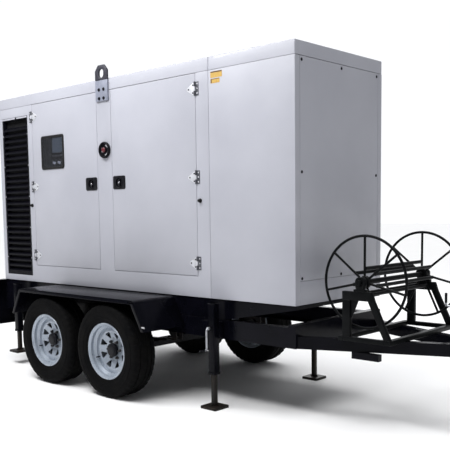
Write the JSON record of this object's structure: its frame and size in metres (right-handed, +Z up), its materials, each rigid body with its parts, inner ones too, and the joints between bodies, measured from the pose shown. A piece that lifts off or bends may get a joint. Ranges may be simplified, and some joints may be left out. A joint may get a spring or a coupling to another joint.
{
  "type": "towable diesel generator",
  "caption": "Weatherproof diesel generating set on a tandem-axle trailer, with hinged side doors, screw jacks, an A-frame drawbar with a tow eye and an empty cable reel.",
  "frame": {"origin": "middle of the footprint, on the floor", "axes": "+X forwards to the tow eye, +Z up, +Y to the machine's left"},
  "size_m": [5.15, 1.93, 2.641],
  "materials": {
    "chassis_paint": "gloss black paint",
    "reel_paint": "satin black paint",
    "canopy_paint": "powder coat, off-white",
    "cabinet_paint": "powder coat, grey",
    "engine_paint": "satin enamel",
    "forged_steel": "forged, dull",
    "spring_steel": "dark, oiled",
    "zinc_steel": "zinc plated",
    "bare_steel": "bare, lightly rusted",
    "silencer_steel": "aluminised",
    "radiator_aluminium": "matte",
    "latch_metal": "satin",
    "louvre_black": "matte black powder coat",
    "black_plastic": "moulded",
    "red_plastic": "moulded",
    "red_lens": "moulded lens",
    "dark_glass": "tinted",
    "rim_paint": "gloss white paint",
    "tyre": "moulded rubber",
    "mount_rubber": "moulded"
  },
  "bodies": {
    "chassis": {"chassis_rails": "chassis_paint", "cross_members": "chassis_paint", "drawbar": "chassis_paint", "tow_eye": "forged_steel", "base_tank": "chassis_paint", "fenders": "chassis_paint", "rear_bumper": "chassis_paint", "rear_lamps": "red_lens", "axle_beams": "chassis_paint", "leaf_springs": "spring_steel", "jack_housings": "chassis_paint", "reel_stand": "reel_paint", "bearing_blocks": "reel_paint", "canopy_frame": "canopy_paint", "roof_panels": "canopy_paint", "front_panel": "canopy_paint", "rear_panel": "canopy_paint", "fasteners": "zinc_steel", "side_louvres": "louvre_black", "lifting_lugs": "zinc_steel", "estop_guard": "black_plastic", "hinge_brackets": "zinc_steel", "engine_block": "engine_paint", "alternator": "engine_paint", "radiator": "radiator_aluminium", "silencer": "silencer_steel", "air_filter": "black_plastic", "battery": "black_plastic", "control_cabinet": "cabinet_paint", "vibration_mounts": "mount_rubber"},
    "wheel_rear_right": {"tyre_rear_right": "tyre", "wheel_rim_rear_right": "rim_paint"},
    "wheel_front_right": {"tyre_front_right": "tyre", "wheel_rim_front_right": "rim_paint"},
    "wheel_rear_left": {"tyre_rear_left": "tyre", "wheel_rim_rear_left": "rim_paint"},
    "wheel_front_left": {"tyre_front_left": "tyre", "wheel_rim_front_left": "rim_paint"},
    "door_rear_right": {"door_rear_right": "canopy_paint", "window_glass": "dark_glass"},
    "latch_rear_right": {"latch_rear_right": "latch_metal"},
    "door_front_right": {"door_front_right": "canopy_paint"},
    "latch_front_right": {"latch_front_right": "latch_metal"},
    "door_rear_left": {"door_rear_left": "canopy_paint"},
    "latch_rear_left": {"latch_rear_left": "latch_metal"},
    "door_front_left": {"door_front_left": "canopy_paint"},
    "latch_front_left": {"latch_front_left": "latch_metal"},
    "stop_button": {"estop_button": "red_plastic"},
    "jack_crank_right": {"jack_crank_right": "zinc_steel"},
    "jack_leg_front_right": {"jack_leg_front_right": "bare_steel"},
    "jack_leg_rear_right": {"jack_leg_rear_right": "bare_steel"},
    "jack_crank_left": {"jack_crank_left": "zinc_steel"},
    "jack_leg_front_left": {"jack_leg_front_left": "bare_steel"},
    "jack_leg_rear_left": {"jack_leg_rear_left": "bare_steel"},
    "jack_crank_tongue": {"jack_crank_tongue": "zinc_steel"},
    "jack_leg_tongue": {"jack_leg_tongue": "bare_steel"},
    "reel": {"reel_flanges": "reel_paint", "reel_drum": "reel_paint"},
    "engine_line": {"crankshaft": "spring_steel", "cooling_fan": "black_plastic"}
  },
  "joints": [
    {"name": "wheel_spin_rear_right", "type": "hinge", "parent": "chassis", "child": "wheel_rear_right", "pos_m": [-1.192, -0.85, 0.365], "axis": [0, 1, 0], "continuous": true},
    {"name": "wheel_spin_front_right", "type": "hinge", "parent": "chassis", "child": "wheel_front_right", "pos_m": [-0.397, -0.85, 0.365], "axis": [0, 1, 0], "continuous": true},
    {"name": "wheel_spin_rear_left", "type": "hinge", "parent": "chassis", "child": "wheel_rear_left", "pos_m": [-1.192, 0.85, 0.365], "axis": [0, 1, 0], "continuous": true},
    {"name": "wheel_spin_front_left", "type": "hinge", "parent": "chassis", "child": "wheel_front_left", "pos_m": [-0.397, 0.85, 0.365], "axis": [0, 1, 0], "continuous": true},
    {"name": "door_swing_rear_right", "type": "hinge", "parent": "chassis", "child": "door_rear_right", "pos_m": [-1.91, -0.548, 1.69], "axis": [0, 0, -1], "range_deg": [0, 110]},
    {"name": "latch_turn_rear_right", "type": "hinge", "parent": "door_rear_right", "child": "latch_rear_right", "pos_m": [-1.036, -0.53, 1.675], "axis": [0, -1, 0], "range_deg": [0, 90]},
    {"name": "door_swing_front_right", "type": "hinge", "parent": "chassis", "child": "door_front_right", "pos_m": [0.22, -0.548, 1.69], "axis": [0, 0, 1], "range_deg": [0, 110]},
    {"name": "latch_turn_front_right", "type": "hinge", "parent": "door_front_right", "child": "latch_front_right", "pos_m": [-0.669, -0.53, 1.675], "axis": [0, 1, 0], "range_deg": [0, 90]},
    {"name": "door_swing_rear_left", "type": "hinge", "parent": "chassis", "child": "door_rear_left", "pos_m": [-1.91, 0.548, 1.69], "axis": [0, 0, 1], "range_deg": [0, 110]},
    {"name": "latch_turn_rear_left", "type": "hinge", "parent": "door_rear_left", "child": "latch_rear_left", "pos_m": [-1.036, 0.53, 1.675], "axis": [0, -1, 0], "range_deg": [0, 90]},
    {"name": "door_swing_front_left", "type": "hinge", "parent": "chassis", "child": "door_front_left", "pos_m": [0.22, 0.548, 1.69], "axis": [0, 0, -1], "range_deg": [0, 110]},
    {"name": "latch_turn_front_left", "type": "hinge", "parent": "door_front_left", "child": "latch_front_left", "pos_m": [-0.669, 0.53, 1.675], "axis": [0, 1, 0], "range_deg": [0, 90]},
    {"name": "stop_press", "type": "slide", "parent": "chassis", "child": "stop_button", "axis": [0, 1, 0], "range_m": [0, 0.006], "stiffness_N_per_m": 900},
    {"name": "jack_wind_right", "type": "hinge", "parent": "chassis", "child": "jack_crank_right", "pos_m": [0.445, -0.62, 0.59], "axis": [0, -1, 0], "range_deg": [-7200, 3600]},
    {"name": "jack_slide_front_right", "type": "slide", "parent": "chassis", "child": "jack_leg_front_right", "axis": [0, 0, -1], "range_m": [-0.2001, 0.1001]},
    {"name": "jack_slide_rear_right", "type": "slide", "parent": "chassis", "child": "jack_leg_rear_right", "axis": [0, 0, -1], "range_m": [-0.1, 0.15]},
    {"name": "jack_wind_left", "type": "hinge", "parent": "chassis", "child": "jack_crank_left", "pos_m": [0.445, 0.62, 0.59], "axis": [0, 1, 0], "range_deg": [-7200, 3600]},
    {"name": "jack_slide_front_left", "type": "slide", "parent": "chassis", "child": "jack_leg_front_left", "axis": [0, 0, -1], "range_m": [-0.2001, 0.1001]},
    {"name": "jack_slide_rear_left", "type": "slide", "parent": "chassis", "child": "jack_leg_rear_left", "axis": [0, 0, -1], "range_m": [-0.1, 0.15]},
    {"name": "jack_wind_tongue", "type": "hinge", "parent": "chassis", "child": "jack_crank_tongue", "pos_m": [2.08, 0, 0.78], "axis": [0, 0, -1], "range_deg": [0, 10080]},
    {"name": "jack_slide_tongue", "type": "slide", "parent": "chassis", "child": "jack_leg_tongue", "axis": [0, 0, -1], "range_m": [0, 0.2801]},
    {"name": "reel_spin", "type": "hinge", "parent": "chassis", "child": "reel", "pos_m": [1.555, 0, 0.963], "axis": [0, 1, 0], "continuous": true},
    {"name": "engine_turn", "type": "hinge", "parent": "chassis", "child": "engine_line", "pos_m": [-0.225, 0, 1.3], "axis": [1, 0, 0], "continuous": true}
  ],
  "couplings": [
    {"joint": "jack_slide_front_right", "follows": "jack_wind_right", "m_per_rad": 0.0015915},
    {"joint": "jack_slide_front_left", "follows": "jack_wind_left", "m_per_rad": 0.0015915},
    {"joint": "jack_slide_tongue", "follows": "jack_wind_tongue", "m_per_rad": 0.0015915}
  ]
}
